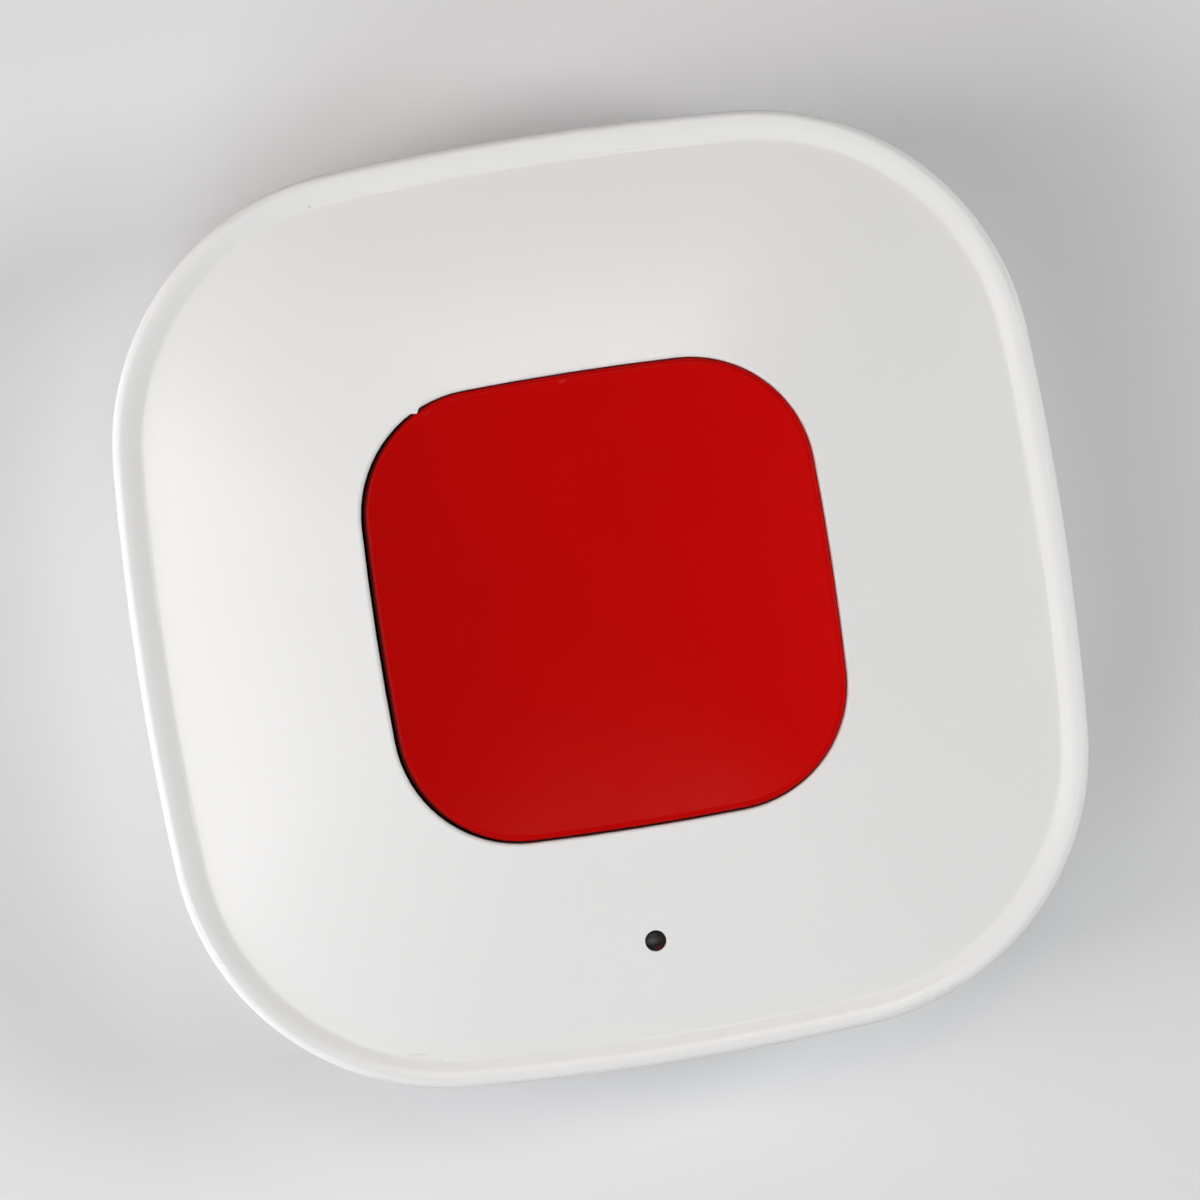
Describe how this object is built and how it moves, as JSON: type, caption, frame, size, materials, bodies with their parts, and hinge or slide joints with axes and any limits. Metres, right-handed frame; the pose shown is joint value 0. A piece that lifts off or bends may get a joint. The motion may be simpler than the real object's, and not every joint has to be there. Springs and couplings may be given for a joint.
{
  "type": "wireless panic button",
  "caption": "Square wall-mounted wireless alarm button with a domed white cover, rounded lip and a red push cap in its window.",
  "frame": {"origin": "centre of the housing's outline, on the wall plane at the back of the wall plate", "axes": "+Z out of the face, +Y towards the upper edge, +X to the right as seen from the front; the status light is on the -Y side"},
  "size_m": [0.07, 0.07, 0.0185],
  "materials": {
    "cover_plastic": "satin white",
    "cap_plastic": "glossy red",
    "smoky_plastic": "clear, smoky",
    "case_plastic": "fine texture, white",
    "seal_rubber": "soft",
    "dome_rubber": "silicone",
    "board_laminate": "green solder resist",
    "radio_laminate": "blue solder resist",
    "screw_steel": "zinc plated",
    "cell_shell": "nickel plated",
    "contact_steel": "nickel plated",
    "tin_plate": "tin plated",
    "capacitor_can": "drawn can",
    "led_resin": "clear resin",
    "black_plastic": "moulded black"
  },
  "bodies": {
    "wall_plate": {"mounting_plate": "case_plastic"},
    "housing": {"front_cover": "cover_plastic", "light_pipe": "smoky_plastic", "rear_case": "case_plastic", "seal_ring": "seal_rubber", "circuit_board": "board_laminate", "case_screws": "screw_steel", "board_screws": "screw_steel", "rubber_dome": "dome_rubber", "coin_cell": "cell_shell", "cell_holder": "black_plastic", "cell_contact_upper": "contact_steel", "cell_contact_side": "contact_steel", "status_led": "led_resin", "radio_board": "radio_laminate", "shield_can": "tin_plate", "controller_chip": "black_plastic", "crystal": "tin_plate", "capacitors": "capacitor_can", "antenna": "tin_plate", "main_switch_base": "black_plastic", "main_switch_lid": "tin_plate", "pairing_switch_base": "black_plastic", "pairing_switch_lid": "tin_plate", "tamper_switch_base": "black_plastic", "tamper_switch_lid": "tin_plate", "switch_terminals": "tin_plate"},
    "button": {"button_cap": "cap_plastic"},
    "main_key": {"main_plunger": "black_plastic"},
    "pairing_key": {"pairing_plunger": "black_plastic"},
    "tamper_key": {"tamper_plunger": "black_plastic"}
  },
  "joints": [
    {"name": "housing_slide", "type": "slide", "parent": "wall_plate", "child": "housing", "axis": [0, 1, 0], "range_m": [0, 0.006]},
    {"name": "button_press", "type": "slide", "parent": "housing", "child": "button", "axis": [0, 0, -1], "range_m": [0, 0.0008], "stiffness_N_per_m": 2500, "springref_m": -0.0004, "deforming": ["rubber_dome"]},
    {"name": "main_key_press", "type": "slide", "parent": "housing", "child": "main_key", "axis": [0, 0, -1], "range_m": [0, 0.0003]},
    {"name": "pairing_press", "type": "slide", "parent": "housing", "child": "pairing_key", "axis": [0, 0, 1], "range_m": [0, 0.00025], "stiffness_N_per_m": 6000},
    {"name": "tamper_release", "type": "slide", "parent": "housing", "child": "tamper_key", "axis": [0, 0, -1], "range_m": [0, 0.0009]}
  ],
  "couplings": [
    {"joint": "main_key_press", "follows": "button_press", "ratio": 0.375},
    {"joint": "tamper_release", "follows": "housing_slide", "ratio": 0.15}
  ]
}
